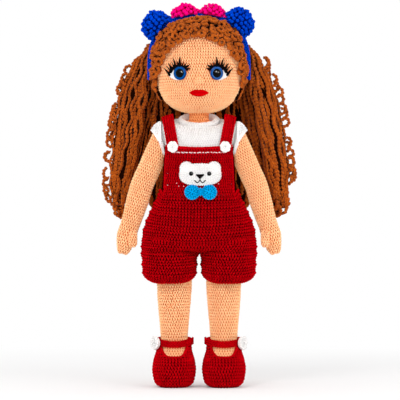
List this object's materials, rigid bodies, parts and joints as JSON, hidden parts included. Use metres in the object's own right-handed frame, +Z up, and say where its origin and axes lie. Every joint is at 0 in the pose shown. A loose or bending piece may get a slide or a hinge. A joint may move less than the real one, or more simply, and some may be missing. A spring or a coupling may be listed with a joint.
{
  "type": "amigurumi doll",
  "caption": "Crocheted standing doll with curly wig and pompom headband, in shirt, bib shorts and strap shoes; head turns, arms swing.",
  "frame": {"origin": "on the ground, under the middle of the doll's bounding box", "axes": "+Z up, -Y the way the doll faces, +X the doll's left side"},
  "size_m": [0.1826, 0.1038, 0.383],
  "materials": {
    "skin_yarn": "peach cotton yarn in single crochet",
    "stuffing": "loose white polyester fibre",
    "dowel_wood": "plain round wooden stick",
    "insole_board": "stiff flat sheet",
    "shirt_yarn": "fine fuzzy white yarn",
    "red_yarn": "deep red yarn, double crochet on the shorts",
    "white_yarn": "white yarn in the round",
    "black_bead": "small glossy bead",
    "black_thread": "black thread",
    "sky_blue_yarn": "sky blue yarn in the round",
    "red_felt": "bright red felt",
    "eye_plastic": "glossy blue ring round a black dome",
    "washer_plastic": "white push-on washer",
    "white_felt": "white felt",
    "hair_yarn": "brown yarn in curly chain stitches",
    "blue_yarn": "royal blue yarn, bobbles on the pompoms",
    "pink_yarn": "hot pink yarn in bobbles"
  },
  "bodies": {
    "torso": {"body_skin": "skin_yarn", "body_stuffing": "stuffing", "neck_dowel": "dowel_wood", "left_leg": "skin_yarn", "right_leg": "skin_yarn", "left_insole": "insole_board", "right_insole": "insole_board", "shirt": "shirt_yarn", "overall_shorts": "red_yarn", "overall_bib": "red_yarn", "left_strap": "red_yarn", "right_strap": "red_yarn", "left_bib_button": "white_yarn", "right_bib_button": "white_yarn", "bear_face": "white_yarn", "bear_left_eye": "black_bead", "bear_right_eye": "black_bead", "bear_nose": "black_thread", "bear_mouth": "black_thread", "bow_left_disc": "sky_blue_yarn", "bow_right_disc": "sky_blue_yarn", "bow_knot": "sky_blue_yarn", "left_shoe": "red_yarn", "right_shoe": "red_yarn", "left_shoe_strap": "red_yarn", "right_shoe_strap": "red_yarn", "left_shoe_button": "white_yarn", "right_shoe_button": "white_yarn"},
    "head": {"head_skin": "skin_yarn", "head_stuffing": "stuffing", "nose": "skin_yarn", "lips": "red_felt", "left_eye": "eye_plastic", "right_eye": "eye_plastic", "left_eye_washer": "washer_plastic", "right_eye_washer": "washer_plastic", "left_eye_white": "white_felt", "right_eye_white": "white_felt", "left_eyelashes": "black_thread", "right_eyelashes": "black_thread", "wig_cap": "hair_yarn", "fringe": "hair_yarn", "left_front_hair": "hair_yarn", "left_side_hair": "hair_yarn", "left_back_hair": "hair_yarn", "middle_back_hair": "hair_yarn", "right_back_hair": "hair_yarn", "right_side_hair": "hair_yarn", "right_front_hair": "hair_yarn"},
    "headband": {"headband": "blue_yarn", "left_blue_pompom": "blue_yarn", "right_blue_pompom": "blue_yarn", "left_pink_pompom": "pink_yarn", "right_pink_pompom": "pink_yarn"},
    "left_arm": {"left_arm": "skin_yarn", "left_sleeve": "shirt_yarn"},
    "right_arm": {"right_arm": "skin_yarn", "right_sleeve": "shirt_yarn"}
  },
  "joints": [
    {"name": "neck_turn", "type": "hinge", "parent": "torso", "child": "head", "pos_m": [0, -0.00831, 0.2726], "axis": [0, 0, 1], "range_deg": [-15, 15]},
    {"name": "left_arm_swing", "type": "hinge", "parent": "torso", "child": "left_arm", "pos_m": [0.0345, -0.00831, 0.25], "axis": [-1, 0, 0], "range_deg": [0, 80]},
    {"name": "right_arm_swing", "type": "hinge", "parent": "torso", "child": "right_arm", "pos_m": [-0.0345, -0.00831, 0.25], "axis": [-1, 0, 0], "range_deg": [0, 80]},
    {"name": "headband_lift", "type": "slide", "parent": "head", "child": "headband", "axis": [0, 0, 1], "range_m": [0, 0.06]}
  ]
}
